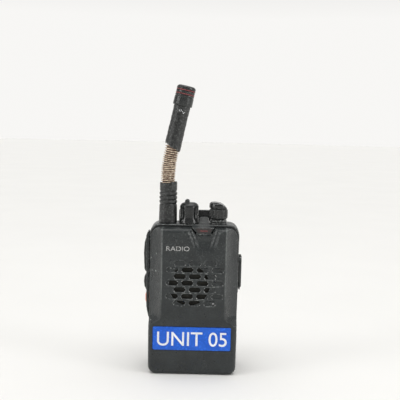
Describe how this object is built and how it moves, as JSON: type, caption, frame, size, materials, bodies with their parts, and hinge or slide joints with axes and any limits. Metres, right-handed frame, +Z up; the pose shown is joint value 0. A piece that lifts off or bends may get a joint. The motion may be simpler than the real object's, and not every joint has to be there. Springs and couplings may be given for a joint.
{
  "type": "two way radio",
  "caption": "Compact handheld two way radio with slotted grille, rotary controls, side keys, belt clip, removable battery and a bendable antenna with its coil bare.",
  "frame": {"origin": "middle of the underside, on the flat foot of the rear case", "axes": "+Z up along the radio, -Y to the speaker side, +X to the jack side, so the talk key is at -X"},
  "size_m": [0.0635, 0.0406, 0.1851],
  "materials": {
    "case_plastic": "fine moulded texture",
    "black_plastic": "satin",
    "black_rubber": "matt",
    "orange_rubber": "satin",
    "label": "printed film",
    "red_plastic": "gloss",
    "copper_wire": "bare copper",
    "antenna_core": "matt",
    "steel": "bright",
    "brass": "turned",
    "circuit_board": "solder mask",
    "battery_cell": "wrapped",
    "grille_cloth": "woven",
    "speaker_paper": "pressed"
  },
  "bodies": {
    "radio_body": {"front_case": "case_plastic", "rear_case": "case_plastic", "side_key_frame": "case_plastic", "channel_nut": "black_plastic", "volume_nut": "black_plastic", "belt_clip_bracket": "black_plastic", "jack_socket_block": "black_plastic", "radio_contact_block": "black_plastic", "case_seal": "black_rubber", "microphone_boot": "black_rubber", "asset_label": "label", "led_light_guide": "red_plastic", "led_emitter": "red_plastic", "speaker_frame": "steel", "speaker_magnet": "steel", "microphone_capsule": "steel", "rf_shield": "steel", "channel_body": "steel", "volume_body": "steel", "jack_cover_pin": "steel", "belt_clip_pin": "steel", "belt_clip_spring": "steel", "bracket_screw_1": "steel", "bracket_screw_2": "steel", "case_screw_1": "steel", "case_screw_2": "steel", "case_screw_3": "steel", "case_screw_4": "steel", "latch_pin": "steel", "antenna_connector": "brass", "main_board": "circuit_board", "side_key_board": "circuit_board", "grille_cloth": "grille_cloth", "speaker_cone": "speaker_paper"},
    "antenna_carrier": {"antenna_seal_ring": "black_rubber"},
    "antenna_base": {"antenna_stud": "brass", "antenna_boot": "black_rubber", "antenna_coil": "copper_wire", "antenna_core": "antenna_core"},
    "antenna_top": {"antenna_sleeve": "black_rubber", "antenna_cap": "black_plastic", "antenna_band_1": "red_plastic", "antenna_band_2": "red_plastic"},
    "channel_control": {"channel_shaft": "steel", "channel_knob": "black_plastic"},
    "volume_control": {"volume_shaft": "steel", "volume_knob": "black_plastic"},
    "ptt_key": {"ptt_button": "black_plastic"},
    "upper_key": {"side_key_upper": "black_plastic"},
    "lower_key": {"side_key_lower": "orange_rubber"},
    "jack_door": {"jack_cover": "black_rubber"},
    "clip": {"belt_clip": "black_plastic"},
    "battery_pack": {"battery_case": "case_plastic", "battery_lid": "case_plastic", "battery_cell_left": "battery_cell", "battery_cell_right": "battery_cell", "battery_board": "circuit_board", "battery_contact_strip": "brass"},
    "latch": {"battery_latch": "black_plastic"}
  },
  "joints": [
    {"name": "antenna_lift", "type": "slide", "parent": "radio_body", "child": "antenna_carrier", "axis": [0, 0, 1], "range_m": [0, 0.00354]},
    {"name": "antenna_unscrew", "type": "hinge", "parent": "antenna_carrier", "child": "antenna_base", "pos_m": [-0.0176, 0.002, 0.0958], "axis": [0, 0, 1], "range_deg": [0, 1800]},
    {"name": "antenna_flex", "type": "hinge", "parent": "antenna_base", "child": "antenna_top", "pos_m": [-0.0168, 0.002, 0.1318], "axis": [0, 1, 0], "range_deg": [-40, 40], "stiffness_Nm_per_rad": 0.3, "deforming": ["antenna_coil", "antenna_core"]},
    {"name": "channel_knob_turn", "type": "hinge", "parent": "radio_body", "child": "channel_control", "pos_m": [-0.0038, 0.002, 0.096], "axis": [0, 0, 1], "range_deg": [-157.5, 180]},
    {"name": "volume_knob_turn", "type": "hinge", "parent": "radio_body", "child": "volume_control", "pos_m": [0.0153, 0.002, 0.0962], "axis": [0, 0, -1], "range_deg": [-60, 240]},
    {"name": "ptt_press", "type": "slide", "parent": "radio_body", "child": "ptt_key", "axis": [1, 0, 0], "range_m": [0, 0.0012], "stiffness_N_per_m": 1500, "springref_m": -0.0006},
    {"name": "side_key_upper_press", "type": "slide", "parent": "radio_body", "child": "upper_key", "axis": [1, 0, 0], "range_m": [0, 0.0008], "stiffness_N_per_m": 1500, "springref_m": -0.0006},
    {"name": "side_key_lower_press", "type": "slide", "parent": "radio_body", "child": "lower_key", "axis": [1, 0, 0], "range_m": [0, 0.0008], "stiffness_N_per_m": 1500, "springref_m": -0.0006},
    {"name": "jack_cover_open", "type": "hinge", "parent": "radio_body", "child": "jack_door", "pos_m": [0.0301, 0, 0.0747], "axis": [0, -1, 0], "range_deg": [0, 120]},
    {"name": "belt_clip_squeeze", "type": "hinge", "parent": "radio_body", "child": "clip", "pos_m": [0, 0.0208, 0.0875], "axis": [1, 0, 0], "range_deg": [0, 12], "stiffness_Nm_per_rad": 0.4, "springref_deg": -17.19},
    {"name": "battery_slide", "type": "slide", "parent": "radio_body", "child": "battery_pack", "axis": [0, 0, -1], "range_m": [0, 0.008]},
    {"name": "latch_open", "type": "hinge", "parent": "radio_body", "child": "latch", "pos_m": [0, 0.0035, 0.0013], "axis": [-1, 0, 0], "range_deg": [0, 100]}
  ],
  "couplings": [
    {"joint": "antenna_lift", "follows": "antenna_unscrew", "m_per_rad": 0.0001123},
    {"joint": "latch_open", "follows": "battery_slide", "rad_per_m": 218}
  ]
}
